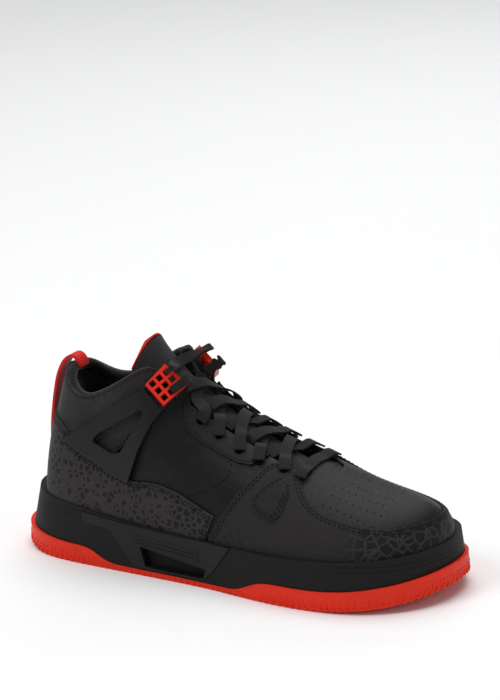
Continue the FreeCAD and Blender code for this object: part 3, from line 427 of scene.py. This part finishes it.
def outer_rims(name, thin=2.4):
    """Chains of points along the rim of a thin panel's outer face, each with its inward way."""
    work = merged(name)
    tree = BVHTree.FromBMesh(work)
    outer = set()
    for face in work.faces:
        middle = face.calc_center_median()
        if face.normal.dot(outward(middle)) < 0.15:
            continue
        hit = tree.ray_cast(middle - face.normal * 1e-5, -face.normal, 0.02)
        if hit[0] is not None and hit[3] < thin * MM:
            outer.add(face)
    rim = {}
    for edge in work.edges:
        beside = [face for face in edge.link_faces if face in outer]
        if len(beside) == 1 and len(edge.link_faces) == 2:
            for vert in edge.verts:
                rim.setdefault(vert, []).append((edge.other_vert(vert), beside[0]))
    chains, used = [], set()
    for start in sorted(rim, key=lambda v: v.index):
        if start in used:
            continue
        chain, here = [], start
        while here is not None and here not in used:
            used.add(here)
            inside = here.co.copy()
            ways = Vector()
            for other, face in rim[here]:
                edge_way = (other.co - here.co).normalized()
                way = face.calc_center_median() - here.co
                way -= edge_way * way.dot(edge_way)
                way -= face.normal * way.dot(face.normal)
                if way.length > 1e-7:
                    ways += way.normalized()
            chain.append((inside, ways.normalized() if ways.length > 1e-6 else Vector()))
            here = next((o for o, f in rim[here] if o not in used), None)
        round_it = sum((b[0] - a[0]).length for a, b in zip(chain, chain[1:]))
        if round_it > SHORTEST_SEAM:
            chains.append(chain)
    work.free()
    return chains, tree


def seen_from_outside(point, normal, own):
    """True if nothing but the panel itself lies just outside this point on it."""
    which = first_hit(point + normal * (0.5 * MM), normal, 0.012)[2]
    return which is None or which == own


def stitch_panel(name, insets):
    """Rows of stitches round a panel, each at its inset in mm from the rim."""
    chains, tree = outer_rims(name)
    work = bmesh.new()
    for inset in insets:
        for chain in chains:
            moved = [point + way * inset * MM for point, way in chain]
            row, normals = [], []
            for point in even_steps(moved, STITCH_STEP * MM):
                near, normal, index, far = tree.find_nearest(point)
                if near is None or far > 1.2 * MM:
                    continue
                if normal.dot(outward(near)) < 0.1 or not seen_from_outside(near, normal, name):
                    continue
                row.append(near)
                normals.append(normal)
            stitch_row(work, row, normals)
    if work.verts:
        new_piece("stitches_" + name, work, thread_look, body_of_node[name])
    else:
        work.free()


stitch_panel("mudguard", (1.3, 3.2))
stitch_panel("heel_overlay", (1.3, 3.2))
for side in ("lateral", "medial"):
    stitch_panel("insert_" + side, (1.3, 3.0))
    stitch_panel("eyestay_" + side, (1.6,))
stitch_panel("collar_panel", (1.8,))


def smooth_curve(points, count=14):
    """Points on a Catmull-Rom curve through these points."""
    made = []
    for k in range(len(points) - 1):
        a = points[max(k - 1, 0)]
        b, c = points[k], points[k + 1]
        d = points[min(k + 2, len(points) - 1)]
        for s in range(count):
            t = s / count
            made.append(0.5 * ((2 * b) + (c - a) * t + (2 * a - 5 * b + 4 * c - d) * t * t
                               + (3 * b - a - 3 * c + d) * t ** 3))
    return made + [points[-1]]


# the stitched line on each quarter, in front of and below the wing
QUARTER_LINE = [(-23, 109), (-1, 91), (10.6, 81), (13.7, 73), (8, 65), (-15, 53)]
for side, way in (("lateral", 1.0), ("medial", -1.0)):
    line = smooth_curve([Vector((x, 0.0, z)) * MM for x, z in QUARTER_LINE])
    work = bmesh.new()
    row, normals = [], []
    for place in even_steps(line, STITCH_STEP * MM):
        start = Vector((place.x, -0.09 * way, place.z))
        point, normal, which = first_hit(start, Vector((0.0, way, 0.0)))
        if which == "quarter_" + side:
            row.append(point)
            normals.append(normal)
    stitch_row(work, row, normals)
    new_piece("stitches_quarter_" + side, work, thread_look, "shoe")

# ---------------------------------------------------------- perforations
# each perforation is a flat dark disc on the vamp, painted with the shade of a hole that is not cut
work = bmesh.new()
for row, y in enumerate((-31, -23, -15, -7, 0, 7, 15, 23, 31)):
    for k in range(8):
        x = 77.0 + k * 4.6 + (row % 2) * 2.3
        point, normal, which = first_hit(Vector((x * MM, y * MM, 0.2)), Vector((0, 0, -1)))
        if which != "vamp":
            continue
        turn = normal.to_track_quat("Z", "Y").to_matrix().to_4x4()
        turn.translation = point
        bmesh.ops.create_cone(work, cap_ends=True, segments=14, radius1=0.62 * MM,
                              radius2=0.55 * MM, depth=0.12 * MM, matrix=turn)
new_piece("vamp_perforations", work, perforation_shade_look, "shoe", smooth=False)


# ------------------------------------------------------------ sole details
def round_the_sole(above, step, reach=0.10):
    """Places at equal steps round the outsole's wall, at one height above its lower edge."""
    turns, sides = 120, 200
    starts = []
    for begin, end, first_angle in ((SOLE_REAR, SOLE_FRONT, math.pi / 2),
                                    (SOLE_FRONT, SOLE_REAR, -math.pi / 2)):
        for k in range(turns + 1):
            angle = first_angle + math.pi * k / turns
            starts.append((begin, Vector((math.cos(angle), math.sin(angle), 0.0))))
        sideways = Vector((0.0, -math.sin(first_angle), 0.0))
        for k in range(1, sides):
            starts.append((begin + (end - begin) * k / sides, sideways))
    found, last = [], None
    for centre, way in starts:
        rungs = []
        for rung in range(45):
            start = Vector((centre, 0.0, (0.3 + rung * 0.4) * MM)) + way * reach
            point, normal, which = first_hit(start, -way, reach)
            if which == "outsole":
                rungs.append(((point - start).length, start))
        if not rungs:
            continue
        outermost = min(far for far, start in rungs)
        lowest = next(start for far, start in rungs if far < outermost + 3.5 * MM)
        start = lowest + Vector((0.0, 0.0, above))
        point, normal, which = first_hit(start, -way, reach)
        if which == "outsole" and (last is None or (point - last).length >= step):
            found.append((point, normal))
            last = point
    return found


work = bmesh.new()
for above in (3.3 * MM, 5.6 * MM):
    for point, normal in round_the_sole(above, 3.0 * MM):
        if -0.082 < point.x < 0.045:
            continue
        turn = normal.to_track_quat("Z", "Y").to_matrix().to_4x4()
        turn.translation = point
        size = Matrix.Diagonal((0.8 * MM, 0.8 * MM, 0.55 * MM, 1.0))
        bmesh.ops.create_uvsphere(work, u_segments=10, v_segments=6, radius=1.0,
                                  matrix=turn @ size)
new_piece("sole_dots", work, looks["red_rubber"], "shoe")

work = bmesh.new()
for point, normal in round_the_sole(1.0 * MM, 4.0 * MM):
    flat = Vector((normal.x, normal.y, 0.0)).normalized()
    turn = flat.to_track_quat("Y", "Z").to_matrix().to_4x4()
    turn.translation = Vector((point.x, point.y, point.z + 0.1 * MM))
    made = bmesh.ops.create_cube(work, size=1.0, matrix=turn @ Matrix.Diagonal(
        (2.3 * MM, 1.3 * MM, 2.0 * MM, 1.0)))
    edges = list(dict.fromkeys(edge for vert in made["verts"] for edge in vert.link_edges))
    bmesh.ops.bevel(work, geom=edges, offset=0.3 * MM, segments=2, profile=0.5,
                    affect="EDGES")
new_piece("sole_teeth", work, looks["red_rubber"], "shoe", smooth=False)


# ------------------------------------------------------------ padded pieces
def padded_piece(name, sources, materials, body, voxel, rounds, wrinkle, swell):
    """One soft skin round these nodes, smoothed, swollen, and with slight wrinkles, in mm."""
    work = merged(*sources)
    mesh = bpy.data.meshes.new(name)
    work.to_mesh(mesh)
    work.free()
    piece = bpy.data.objects.new(name, mesh)
    bpy.context.scene.collection.objects.link(piece)
    skin = piece.modifiers.new("skin", "REMESH")
    skin.mode = "VOXEL"
    skin.voxel_size = voxel * MM
    soften = piece.modifiers.new("soften", "SMOOTH")
    soften.factor = 0.5
    soften.iterations = rounds
    evaluated = piece.evaluated_get(bpy.context.evaluated_depsgraph_get())
    done = bpy.data.meshes.new_from_object(evaluated)
    piece.modifiers.clear()
    piece.data = done
    done.materials.clear()
    for material in materials:
        done.materials.append(material)
    moves = [(swell + noise.noise(v.co * 70.0) * wrinkle) * MM for v in done.vertices]
    normals = [v.normal.copy() for v in done.vertices]
    for v, normal, move in zip(done.vertices, normals, moves):
        v.co += normal * move
    for face in done.polygons:
        face.use_smooth = True
    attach(piece, body)
    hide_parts(*sources)
    return piece


collar = padded_piece("collar_padding", ("collar_lining", "collar_foam", "collar_roll"),
                      [looks["lining_textile"]], "shoe", 1.1, 4, 0.25, 0.4)
tongue = padded_piece("tongue_pad", ("tongue_outer", "tongue_foam", "tongue_lining"),
                      [looks["tongue_leather"], looks["tongue_textile"]],
                      "tongue", 0.9, 2, 0.25, 0.6)
tongue_way = Vector((0.62, 0.0, 0.78))
for face in tongue.data.polygons:
    face.material_index = 0 if face.normal.dot(tongue_way) > -0.25 else 1

# ------------------------------------------------------- floor and light
bpy.ops.mesh.primitive_grid_add(x_subdivisions=2, y_subdivisions=2, size=24.0)
floor = bpy.context.object
floor.name = "floor"
floor_look = Look("Floor", 0.75)
floor_look.paint(floor_look.mix(floor_look.noise(3.0), (0.90, 0.90, 0.90), (0.93, 0.93, 0.93)))
floor.data.materials.append(floor_look.material)

world = bpy.data.worlds.new("studio")
bpy.context.scene.world = world
world.use_nodes = True
sky = world.node_tree.nodes["Background"]
sky.inputs["Color"].default_value = (0.95, 0.97, 1.0, 1.0)
# the sky is pale to look at, but gives only a little light
ray_kind = world.node_tree.nodes.new("ShaderNodeLightPath")
brightness = world.node_tree.nodes.new("ShaderNodeMapRange")
brightness.inputs["To Min"].default_value = 0.22
brightness.inputs["To Max"].default_value = 0.85
world.node_tree.links.new(ray_kind.outputs["Is Camera Ray"], brightness.inputs["Value"])
world.node_tree.links.new(brightness.outputs["Result"], sky.inputs["Strength"])


def soft_light(name, place, size, power, aim=(0.0, 0.0, 0.06)):
    data = bpy.data.lights.new(name, "AREA")
    data.shape = "RECTANGLE"
    data.size, data.size_y = size
    data.energy = power
    lamp = bpy.data.objects.new(name, data)
    lamp.location = place
    lamp.rotation_mode = "QUATERNION"
    lamp.rotation_quaternion = (Vector(aim) - Vector(place)).to_track_quat("-Z", "Y")
    bpy.context.scene.collection.objects.link(lamp)


soft_light("key", (-0.9, -1.3, 1.9), (0.9, 0.9), 17)
soft_light("top", (0.1, 0.3, 1.8), (1.6, 1.2), 9)
soft_light("fill", (1.7, -0.7, 0.9), (0.8, 1.0), 4)
soft_light("back", (-0.4, 1.6, 1.2), (1.2, 0.8), 5)

# a wide, very soft light from above, so that the floor is as pale far away as near
daylight = bpy.data.lights.new("overhead", "SUN")
daylight.energy = 1.25
daylight.angle = math.radians(55.0)
overhead = bpy.data.objects.new("overhead", daylight)
overhead.rotation_euler = (math.radians(-12.0), math.radians(-8.0), 0.0)
bpy.context.scene.collection.objects.link(overhead)

# ----------------------------------------------------------------- camera
AZIMUTH, ELEVATION, ROLL = math.radians(30.5), math.radians(21.0), math.radians(-2.8)
DISTANCE = 1.85
AIM_RIGHT, AIM_UP = 0.00276, 0.0720     # how far the aim is off the frame's origin, as slopes
back = Vector((math.sin(AZIMUTH) * math.cos(ELEVATION),
               -math.cos(AZIMUTH) * math.cos(ELEVATION), math.sin(ELEVATION)))
level = Vector((math.cos(AZIMUTH), math.sin(AZIMUTH), 0.0))
upright = back.cross(level)
right = level * math.cos(ROLL) + upright * math.sin(ROLL)
up = upright * math.cos(ROLL) - level * math.sin(ROLL)
aim = (-back + right * AIM_RIGHT + up * AIM_UP).normalized()
right = aim.cross(up).normalized()
up = right.cross(aim)
data = bpy.data.cameras.new("camera")
data.lens = 151.1
data.sensor_width = 36.0
data.clip_start, data.clip_end = 0.05, 60.0
camera = bpy.data.objects.new("camera", data)
turn = Matrix((right, up, -aim)).transposed().to_4x4()
turn.translation = back * DISTANCE
camera.matrix_world = turn
bpy.context.scene.collection.objects.link(camera)
bpy.context.scene.camera = camera
bpy.context.scene.view_settings.view_transform = "Standard"
